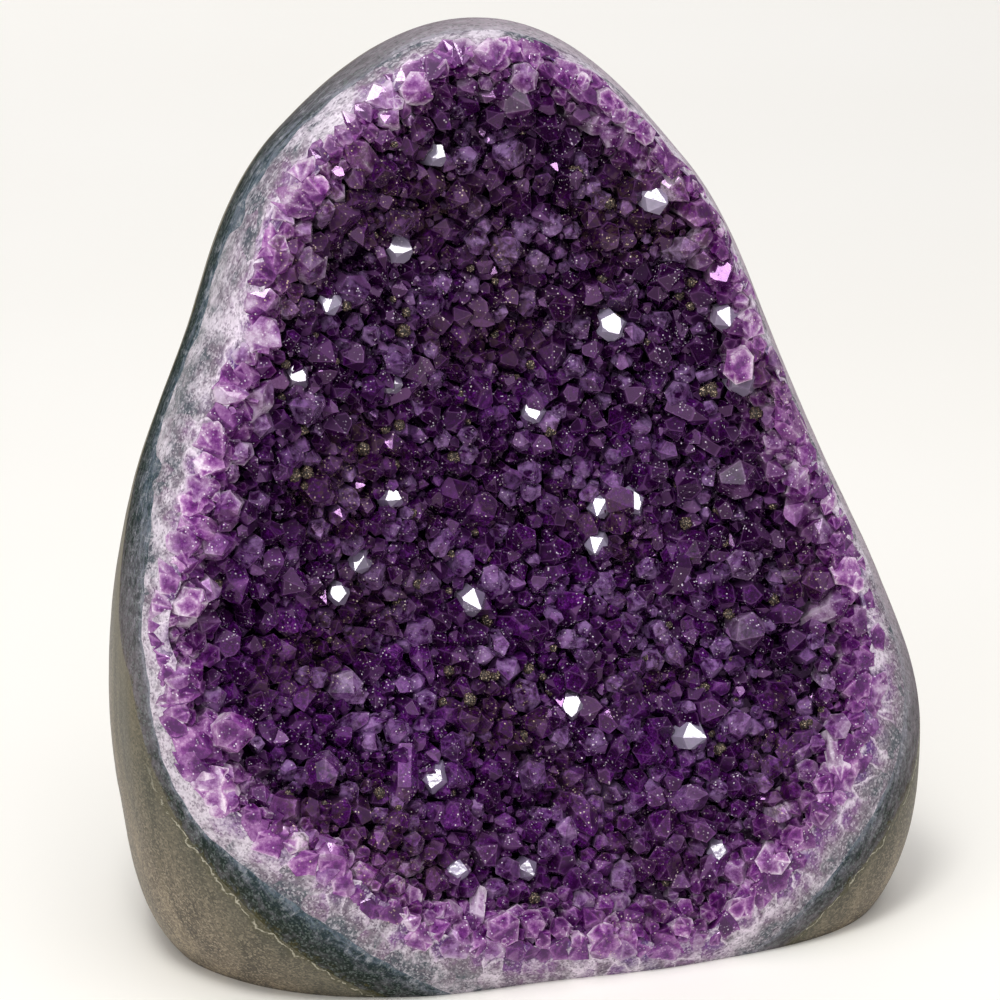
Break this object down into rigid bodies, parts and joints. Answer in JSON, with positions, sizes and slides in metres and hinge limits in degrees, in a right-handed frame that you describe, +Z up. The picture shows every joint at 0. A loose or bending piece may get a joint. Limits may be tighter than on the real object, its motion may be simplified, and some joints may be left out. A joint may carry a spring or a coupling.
{
  "type": "amethyst geode with cut base",
  "caption": "Egg-shaped half of a stone that stands on a sawn flat base; its leaning open face shows a rind, a blue-grey band, a pale quartz rim and a hollow lined with purple crystal points.",
  "frame": {"origin": "middle of the bounding box, on the sawn base", "axes": "+Z up, -Y the way the crystal face looks, +X to the viewer's right"},
  "size_m": [0.1021, 0.0645, 0.1152],
  "materials": {
    "basalt": "grey-brown volcanic rock, fine dark specks and faint upright streaks, ground and polished to a satin sheen",
    "agate": "dark blue-grey to green-grey chalcedony, polished, slightly glossy",
    "white_quartz": "white to lilac milky quartz in cut-through columns, polished",
    "amethyst": "deep purple quartz points, glassy facets, near black in the gaps",
    "amethyst_point": "purple quartz, glassy facets, paler than the crust around it"
  },
  "bodies": {
    "root": {"basalt_rind": "basalt", "agate_band": "agate", "quartz_bed": "white_quartz", "druse_crust": "amethyst", "crystal_01": "amethyst_point", "crystal_02": "amethyst_point", "crystal_03": "amethyst_point", "crystal_04": "amethyst_point", "crystal_05": "amethyst_point", "crystal_06": "amethyst_point", "crystal_07": "amethyst_point", "crystal_08": "amethyst_point", "crystal_09": "amethyst_point", "crystal_10": "amethyst_point", "crystal_11": "amethyst_point", "crystal_12": "amethyst_point", "crystal_13": "amethyst_point", "crystal_14": "amethyst_point", "crystal_15": "amethyst_point", "crystal_16": "amethyst_point", "crystal_17": "amethyst_point", "crystal_18": "amethyst_point", "crystal_19": "amethyst_point", "crystal_20": "amethyst_point", "crystal_21": "amethyst_point", "crystal_22": "amethyst_point", "crystal_23": "amethyst_point", "crystal_24": "amethyst_point", "crystal_25": "amethyst_point", "crystal_26": "amethyst_point", "crystal_27": "amethyst_point", "crystal_28": "amethyst_point", "crystal_29": "amethyst_point", "crystal_30": "amethyst_point", "crystal_31": "amethyst_point", "crystal_32": "amethyst_point"}
  },
  "joints": []
}
